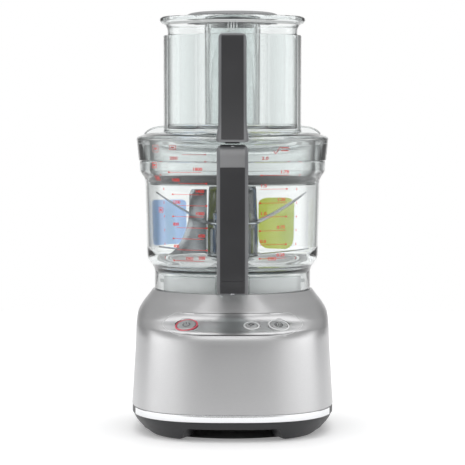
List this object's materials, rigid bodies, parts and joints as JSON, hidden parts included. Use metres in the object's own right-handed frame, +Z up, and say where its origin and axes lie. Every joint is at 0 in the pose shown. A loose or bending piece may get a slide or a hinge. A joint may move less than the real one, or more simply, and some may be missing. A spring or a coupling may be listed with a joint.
{
  "type": "food processor",
  "caption": "motor base with push buttons, clear bowl with front handle and blade set, clear lid with wide feed chute, nested large and small pushers",
  "frame": {"origin": "middle of the footprint on the standing surface, under the feet", "axes": "+Z up, -Y the front with the handle and buttons, +X to the right seen from the front; the drive axis is parallel to Z at y = 15 mm"},
  "size_m": [0.192, 0.2324, 0.3973],
  "materials": {
    "housing_steel": "satin brushed stainless steel",
    "chrome": "bright polished trim",
    "machined_steel": "turned and ground steel",
    "blade_steel": "ground stainless blade steel",
    "winding_core": "laminated core with lacquered windings",
    "dark_plastic": "fine grained black moulding",
    "grip_dark": "satin charcoal moulding",
    "grip_edge": "satin metallic grey moulding",
    "clear_plastic": "clear, very slightly green, polished",
    "smoke_plastic": "smoke grey, polished",
    "rubber": "matte rubber",
    "seal_silicone": "matte grey silicone",
    "board": "green solder mask",
    "white_light_ring": "opal light guide",
    "red_light_ring": "red light guide",
    "blue_film": "thin blue film",
    "lime_film": "thin lime film"
  },
  "bodies": {
    "base": {"base_housing": "housing_steel", "control_panel": "housing_steel", "power_light_ring": "red_light_ring", "pulse_light_ring": "white_light_ring", "start_light_ring": "white_light_ring", "button_board": "board", "bottom_cover": "dark_plastic", "chrome_trim": "chrome", "foot_front_left": "rubber", "foot_front_right": "rubber", "foot_rear_left": "rubber", "foot_rear_right": "rubber", "screw_front_left": "machined_steel", "screw_front_right": "machined_steel", "screw_rear_left": "machined_steel", "screw_rear_right": "machined_steel", "control_board": "board", "cord_gland": "rubber", "bowl_seat": "smoke_plastic", "shaft_seal": "rubber", "motor_bracket": "machined_steel", "motor_mount_front_left": "rubber", "motor_mount_front_right": "rubber", "motor_mount_rear_left": "rubber", "motor_mount_rear_right": "rubber", "upper_bearing": "machined_steel", "motor_stator": "winding_core", "lower_end_bell": "machined_steel", "lower_bearing": "machined_steel", "interlock_switch": "dark_plastic"},
    "power_button": {"power_button": "housing_steel"},
    "pulse_button": {"pulse_button": "housing_steel"},
    "start_button": {"start_button": "housing_steel"},
    "drive": {"motor_shaft": "machined_steel", "motor_rotor": "machined_steel", "cooling_fan": "dark_plastic", "spindle": "smoke_plastic", "blade_hub": "smoke_plastic", "upper_blades": "blade_steel", "lower_blades": "blade_steel"},
    "bowl": {"bowl": "clear_plastic", "blue_film_patch": "blue_film", "lime_film_patch": "lime_film", "bowl_handle": "grip_edge", "bowl_grip_cover": "grip_dark", "thumb_pad": "grip_edge", "rod_spring": "machined_steel"},
    "interlock_rod": {"interlock_rod": "machined_steel"},
    "lid": {"lid": "clear_plastic", "lid_seal": "seal_silicone", "feed_chute": "clear_plastic", "lid_handle": "grip_edge", "lid_grip_cover": "grip_dark", "interlock_tab": "dark_plastic"},
    "large_pusher": {"large_pusher": "clear_plastic"},
    "small_pusher": {"small_pusher": "clear_plastic", "small_pusher_cap": "grip_dark"}
  },
  "joints": [
    {"name": "power_press", "type": "slide", "parent": "base", "child": "power_button", "axis": [0.1279, 0.3855, -0.9138], "range_m": [0, 0.0012], "stiffness_N_per_m": 500, "springref_m": -0.0006},
    {"name": "pulse_press", "type": "slide", "parent": "base", "child": "pulse_button", "axis": [-0.0291, 0.387, -0.9216], "range_m": [0, 0.0012], "stiffness_N_per_m": 500, "springref_m": -0.0006},
    {"name": "start_press", "type": "slide", "parent": "base", "child": "start_button", "axis": [-0.129, 0.3855, -0.9136], "range_m": [0, 0.0012], "stiffness_N_per_m": 500, "springref_m": -0.0006},
    {"name": "drive_spin", "type": "hinge", "parent": "base", "child": "drive", "pos_m": [0, 0.015, 0], "axis": [0, 0, 1], "continuous": true},
    {"name": "bowl_turn", "type": "hinge", "parent": "base", "child": "bowl", "pos_m": [0, 0.015, 0], "axis": [0, 0, 1], "range_deg": [0, 30]},
    {"name": "rod_press", "type": "slide", "parent": "bowl", "child": "interlock_rod", "axis": [0, 0, -1], "range_m": [0, 0.004], "stiffness_N_per_m": 300, "springref_m": -0.002, "deforming": ["rod_spring"]},
    {"name": "lid_lift", "type": "slide", "parent": "bowl", "child": "lid", "axis": [0, 0, 1], "range_m": [0, 0.08]},
    {"name": "large_pusher_lift", "type": "slide", "parent": "lid", "child": "large_pusher", "axis": [0, 0, 1], "range_m": [0, 0.1]},
    {"name": "small_pusher_lift", "type": "slide", "parent": "large_pusher", "child": "small_pusher", "axis": [0, 0, 1], "range_m": [0, 0.11]}
  ]
}
